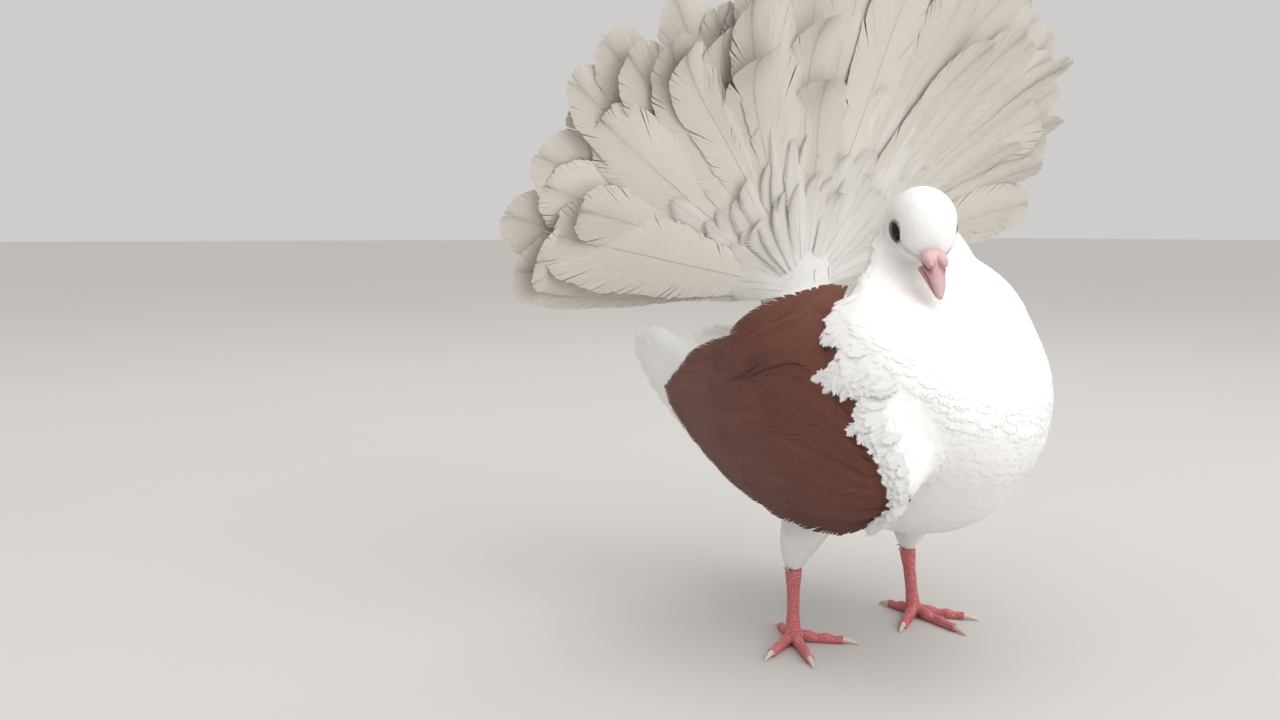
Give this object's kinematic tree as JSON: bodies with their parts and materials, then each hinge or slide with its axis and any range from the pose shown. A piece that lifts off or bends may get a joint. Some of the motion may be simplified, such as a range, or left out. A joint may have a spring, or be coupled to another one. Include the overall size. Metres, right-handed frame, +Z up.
{
  "type": "fantail pigeon model",
  "caption": "Still life-size fantail pigeon standing on both feet, white with brown folded wings, its cream tail raised as a wide upright fan behind the turned head.",
  "frame": {"origin": "middle of the model's footprint box, on the floor under the feet", "axes": "the breast faces -Y, the bird's left side is +X, +Z is up"},
  "size_m": [0.3203, 0.249, 0.2946],
  "materials": {
    "white_plumage": "matte soft feather",
    "cream_tail": "matte stiff feather",
    "brown_wing": "satin feather",
    "foot_skin": "scaly skin",
    "claw_horn": "satin horn",
    "bill_horn": "satin horn",
    "eye": "wet gloss"
  },
  "bodies": {
    "root": {"torso": "white_plumage", "neck": "white_plumage", "head": "white_plumage", "thigh_left": "white_plumage", "thigh_right": "white_plumage", "tail": "cream_tail", "wing_left": "brown_wing", "wing_right": "brown_wing", "foot_left": "foot_skin", "foot_right": "foot_skin", "bill_upper": "bill_horn", "bill_lower": "bill_horn", "eye_left": "eye", "eye_right": "eye", "claw_left_inner": "claw_horn", "claw_left_middle": "claw_horn", "claw_left_outer": "claw_horn", "claw_left_hind": "claw_horn", "claw_right_inner": "claw_horn", "claw_right_middle": "claw_horn", "claw_right_outer": "claw_horn", "claw_right_hind": "claw_horn"}
  },
  "joints": []
}
